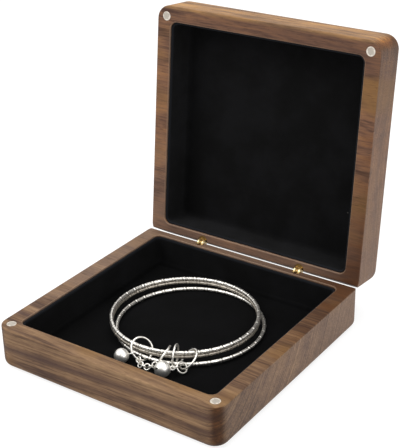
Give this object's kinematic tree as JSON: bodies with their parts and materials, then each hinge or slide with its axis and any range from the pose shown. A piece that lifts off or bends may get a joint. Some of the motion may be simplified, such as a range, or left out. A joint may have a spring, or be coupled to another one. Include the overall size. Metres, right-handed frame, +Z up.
{
  "type": "bracelet gift box",
  "caption": "Square walnut gift box with a hinged lid, velvet lining, magnet closing and barrel hinges, holding a stack of thin silver bangles with bell charms.",
  "frame": {"origin": "centre of the base's underside, which rests on the surface", "axes": "+Z up, +Y towards the hinges, +X to the right as the box is opened"},
  "size_m": [0.12, 0.1499, 0.1356],
  "materials": {
    "walnut": "satin",
    "velvet": "matte",
    "nickel": "polished",
    "brass": "polished",
    "steel": "satin",
    "silver": "polished"
  },
  "bodies": {
    "base": {"base_shell": "walnut", "base_lining": "velvet", "base_magnet_left": "nickel", "base_magnet_right": "nickel", "hinge_left_base_barrel": "brass", "hinge_right_base_barrel": "brass", "hinge_left_pin": "steel", "hinge_right_pin": "steel"},
    "lid": {"lid_shell": "walnut", "lid_lining": "velvet", "lid_magnet_left": "nickel", "lid_magnet_right": "nickel", "hinge_left_lid_barrel": "brass", "hinge_right_lid_barrel": "brass"},
    "bracelet": {"bangle_lower": "silver", "bangle_middle": "silver", "bangle_upper": "silver", "charm_ring_1": "silver", "charm_ring_2": "silver", "charm_ring_3": "silver", "charm_ring_4": "silver", "bell_left": "silver", "bell_left_pellet": "silver", "bell_right": "silver", "bell_right_pellet": "silver", "small_ring": "silver", "right_chain_link": "silver", "front_chain_link_1": "silver", "front_chain_link_2": "silver", "front_chain_link_3": "silver", "front_chain_link_4": "silver", "front_chain_link_5": "silver", "front_chain_link_6": "silver", "front_chain_link_7": "silver"}
  },
  "joints": [
    {"name": "lid_hinge", "type": "hinge", "parent": "base", "child": "lid", "pos_m": [0, 0.0566, 0.0198], "axis": [1, 0, 0], "range_deg": [0, 96.2]},
    {"name": "bracelet_lift_out", "type": "slide", "parent": "base", "child": "bracelet", "axis": [0, 0, 1], "range_m": [0, 0.06]}
  ]
}
